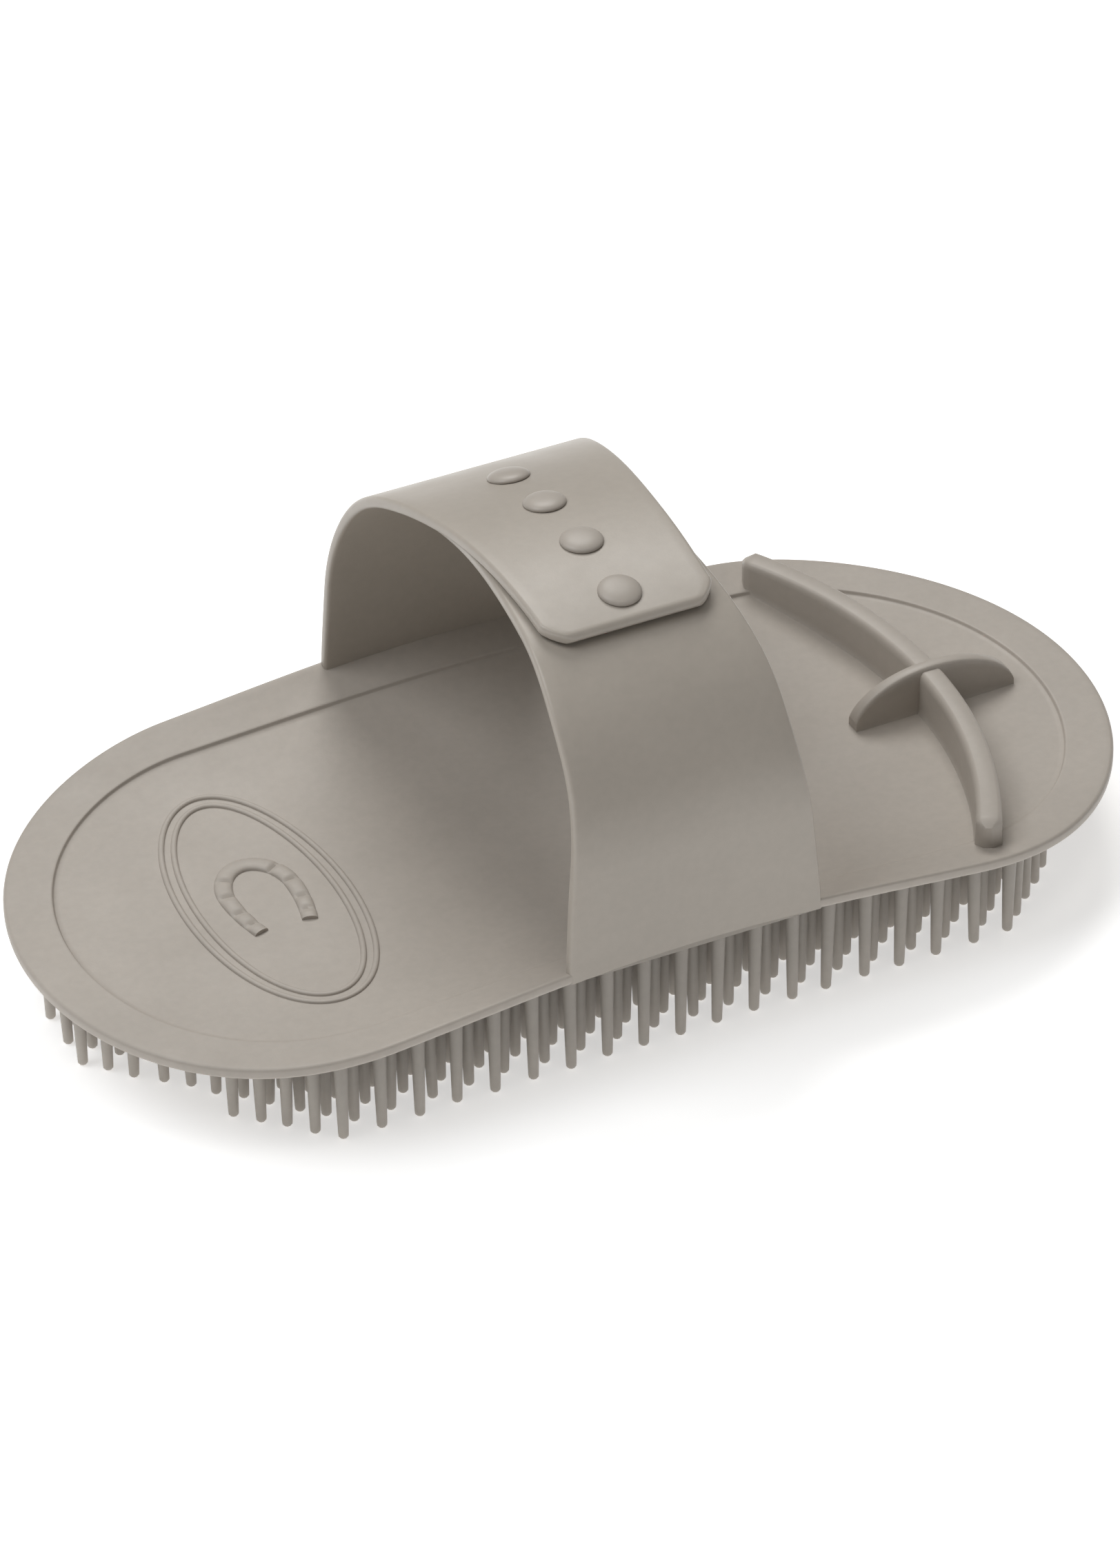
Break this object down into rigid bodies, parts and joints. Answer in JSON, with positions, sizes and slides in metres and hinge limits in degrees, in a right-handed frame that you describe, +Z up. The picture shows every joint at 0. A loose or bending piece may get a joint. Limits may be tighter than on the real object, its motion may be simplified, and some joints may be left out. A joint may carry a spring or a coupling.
{
  "type": "curry comb",
  "caption": "Oval soft plastic curry comb: tapered teeth under a curled deck with crossed ribs, and a two-part hand strap buttoned over pegs.",
  "frame": {"origin": "middle of the plane through the tooth tips, under the middle of the deck", "axes": "+X along the oval deck towards the crossed ribs, +Y across it from the peg half of the strap to the hole half, +Z up"},
  "size_m": [0.207, 0.105, 0.0819],
  "materials": {
    "soft_plastic": "satin, greige"
  },
  "bodies": {
    "comb": {"deck": "soft_plastic", "far_wall": "soft_plastic", "mark_horseshoe": "soft_plastic", "mark_ring": "soft_plastic", "near_leaf": "soft_plastic", "near_wall": "soft_plastic", "peg_1": "soft_plastic", "peg_2": "soft_plastic", "peg_3": "soft_plastic", "peg_4": "soft_plastic", "rib_curved": "soft_plastic", "rib_spur_inner": "soft_plastic", "rib_spur_outer": "soft_plastic", "teeth_row_01": "soft_plastic", "teeth_row_02": "soft_plastic", "teeth_row_03": "soft_plastic", "teeth_row_04": "soft_plastic", "teeth_row_05": "soft_plastic", "teeth_row_06": "soft_plastic", "teeth_row_07": "soft_plastic", "teeth_row_08": "soft_plastic", "teeth_row_09": "soft_plastic", "teeth_row_10": "soft_plastic", "teeth_row_11": "soft_plastic", "teeth_row_12": "soft_plastic", "teeth_row_13": "soft_plastic", "teeth_row_14": "soft_plastic", "teeth_row_15": "soft_plastic", "teeth_row_16": "soft_plastic", "teeth_row_17": "soft_plastic", "teeth_row_18": "soft_plastic", "teeth_row_19": "soft_plastic", "teeth_row_20": "soft_plastic", "teeth_row_21": "soft_plastic", "teeth_row_22": "soft_plastic", "teeth_row_23": "soft_plastic", "teeth_row_24": "soft_plastic", "teeth_row_25": "soft_plastic", "teeth_row_26": "soft_plastic", "teeth_row_27": "soft_plastic"},
    "flap": {"hole_flap": "soft_plastic"}
  },
  "joints": [
    {"name": "flap_hinge", "type": "hinge", "parent": "comb", "child": "flap", "pos_m": [0, 0.042, 0.076], "axis": [-1, 0, 0], "range_deg": [0, 80]}
  ]
}
